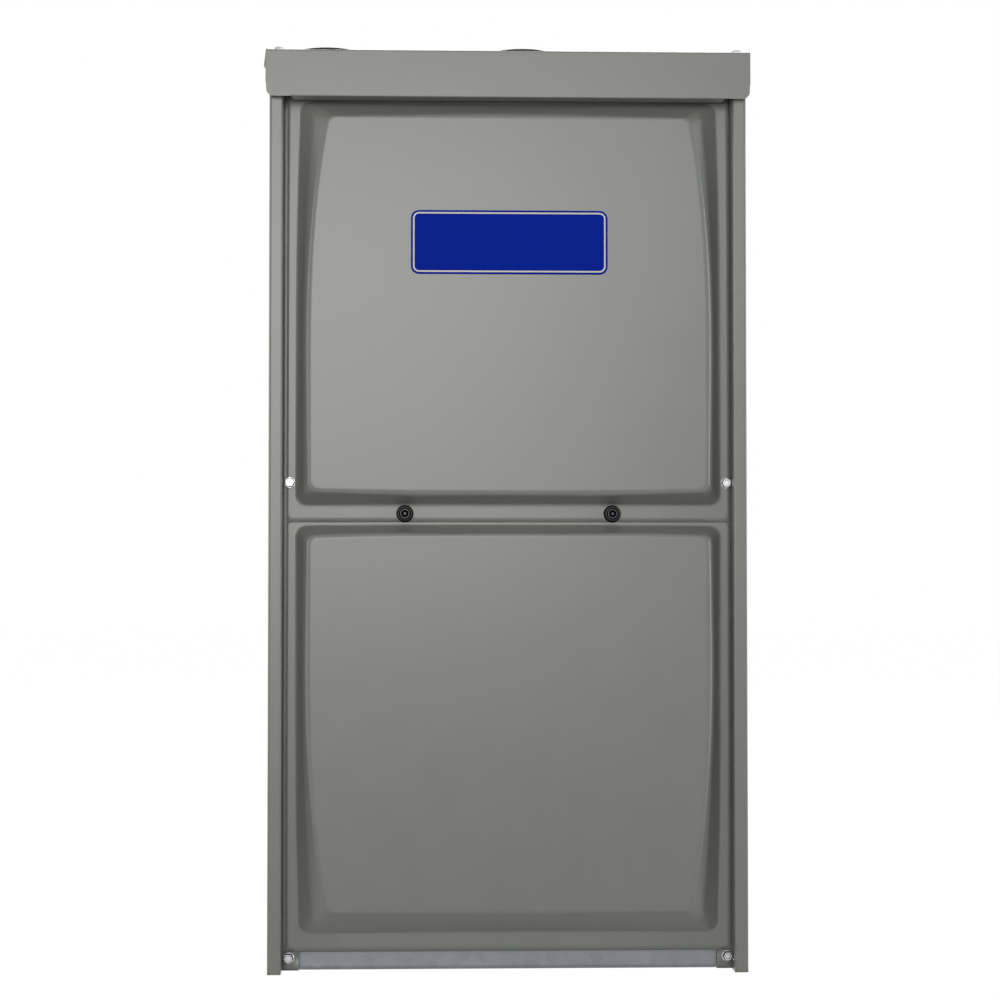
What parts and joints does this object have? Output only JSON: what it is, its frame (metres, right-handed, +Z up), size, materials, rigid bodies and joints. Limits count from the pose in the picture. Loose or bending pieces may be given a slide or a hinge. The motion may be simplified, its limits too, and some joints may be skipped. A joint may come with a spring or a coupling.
{
  "type": "forced air gas furnace",
  "caption": "Upflow condensing gas furnace: steel cabinet with two pressed doors, blower below, burners, exchanger, inducer and gas train above, supply opening on top and return in the base",
  "frame": {"origin": "on the floor under the middle of the part: bottom centre of its box", "axes": "+X to the right seen from the front, -Y out of the front doors, +Z up"},
  "size_m": [0.454, 0.7296, 0.8782],
  "materials": {
    "painted_steel": "satin grey paint with a fine orange peel",
    "galvanised_steel": "galvanised, faint spangle",
    "zinc_screws": "bright zinc plating",
    "glass_wool": "foil-faced glass wool",
    "foam": "closed-cell foam",
    "name_plate_film": "glossy blue plate with a pale border line",
    "black_plastic": "moulded, fine grain",
    "black_rubber": "moulded rubber",
    "pipe_plastic": "extruded pipe",
    "stainless_steel": "mill finish",
    "black_iron": "black pipe",
    "brass": "turned brass",
    "cast_aluminium": "die cast",
    "red_plastic": "moulded",
    "ceramic": "fired ceramic",
    "aluminised_steel": "aluminised, heat tinted",
    "aluminium_fin": "rolled sheet",
    "motor_steel": "dark baked enamel",
    "switch_case": "moulded case",
    "white_plastic": "moulded",
    "board_green": "solder mask over glass fibre",
    "core_steel": "varnished laminations"
  },
  "bodies": {
    "cabinet": {"casing_wrap": "painted_steel", "top_cap": "painted_steel", "cap_screws": "zinc_screws", "supply_flanges": "galvanised_steel", "header_rail": "painted_steel", "middle_rail": "painted_steel", "base_rail": "galvanised_steel", "base_frame": "galvanised_steel", "blower_deck": "galvanised_steel", "vestibule_panel": "galvanised_steel", "side_insulation": "glass_wool", "door_seals": "foam", "vent_coupling": "black_rubber", "intake_coupling": "black_rubber", "vent_pipe": "pipe_plastic", "intake_pipe": "pipe_plastic", "burner_box": "galvanised_steel", "burner_box_cover": "galvanised_steel", "burners": "stainless_steel", "gas_manifold": "black_iron", "gas_orifices": "brass", "gas_valve": "cast_aluminium", "gas_grommet": "black_rubber", "igniter": "ceramic", "flame_sensor": "ceramic", "rollout_switches": "black_plastic", "primary_heat_exchanger": "aluminised_steel", "rear_header": "galvanised_steel", "coil_tubes": "stainless_steel", "coil_fins": "aluminium_fin", "collector_box": "black_plastic", "limit_switch": "ceramic", "inducer_housing": "black_plastic", "inducer_motor": "motor_steel", "pressure_switch": "switch_case", "pressure_hose": "black_rubber", "condensate_trap": "black_plastic", "drain_hose": "white_plastic", "blower_housing": "galvanised_steel", "blower_motor": "motor_steel", "motor_mount": "zinc_screws", "run_capacitor": "aluminium_fin", "control_bracket": "galvanised_steel", "control_board": "board_green", "transformer": "core_steel", "junction_box": "galvanised_steel", "door_switch": "black_plastic"},
    "upper_door": {"upper_door": "painted_steel", "upper_door_screws": "zinc_screws", "name_plate": "name_plate_film"},
    "door_knob_left": {"door_knob_left": "black_plastic"},
    "door_knob_right": {"door_knob_right": "black_plastic"},
    "lower_door": {"lower_door": "painted_steel", "lower_door_screws": "zinc_screws"},
    "blower_wheel": {"blower_wheel": "galvanised_steel"},
    "inducer_wheel": {"inducer_wheel": "motor_steel"},
    "gas_valve_switch": {"gas_valve_switch": "red_plastic"},
    "reset_button_left": {"reset_button_left": "red_plastic"},
    "reset_button_right": {"reset_button_right": "red_plastic"},
    "door_switch_plunger": {"door_switch_plunger": "white_plastic"}
  },
  "joints": [
    {"name": "upper_door_tilt", "type": "hinge", "parent": "cabinet", "child": "upper_door", "pos_m": [0, -0.3353, 0.82], "axis": [1, 0, 0], "range_deg": [-20, 0]},
    {"name": "lower_door_pull", "type": "slide", "parent": "cabinet", "child": "lower_door", "axis": [0, -1, 0], "range_m": [0, 0.25]},
    {"name": "knob_left_turn", "type": "hinge", "parent": "upper_door", "child": "door_knob_left", "pos_m": [-0.0962, -0.3363, 0.4244], "axis": [0, -1, 0], "range_deg": [0, 90]},
    {"name": "knob_right_turn", "type": "hinge", "parent": "upper_door", "child": "door_knob_right", "pos_m": [0.0978, -0.3363, 0.4244], "axis": [0, -1, 0], "range_deg": [0, 90]},
    {"name": "blower_wheel_spin", "type": "hinge", "parent": "cabinet", "child": "blower_wheel", "pos_m": [0, 0.0607, 0.263], "axis": [1, 0, 0], "continuous": true},
    {"name": "inducer_wheel_spin", "type": "hinge", "parent": "cabinet", "child": "inducer_wheel", "pos_m": [-0.12285, -0.2358, 0.5], "axis": [0, 1, 0], "continuous": true},
    {"name": "gas_valve_turn", "type": "hinge", "parent": "cabinet", "child": "gas_valve_switch", "pos_m": [0.16762, -0.3248, 0.764], "axis": [0, -1, 0], "range_deg": [0, 90]},
    {"name": "reset_left_press", "type": "slide", "parent": "cabinet", "child": "reset_button_left", "axis": [0, 1, 0], "range_m": [0, 0.0015], "stiffness_N_per_m": 400},
    {"name": "reset_right_press", "type": "slide", "parent": "cabinet", "child": "reset_button_right", "axis": [0, 1, 0], "range_m": [0, 0.0015], "stiffness_N_per_m": 400},
    {"name": "door_switch_press", "type": "slide", "parent": "cabinet", "child": "door_switch_plunger", "axis": [0, 1, 0], "range_m": [0, 0.004], "stiffness_N_per_m": 300}
  ]
}
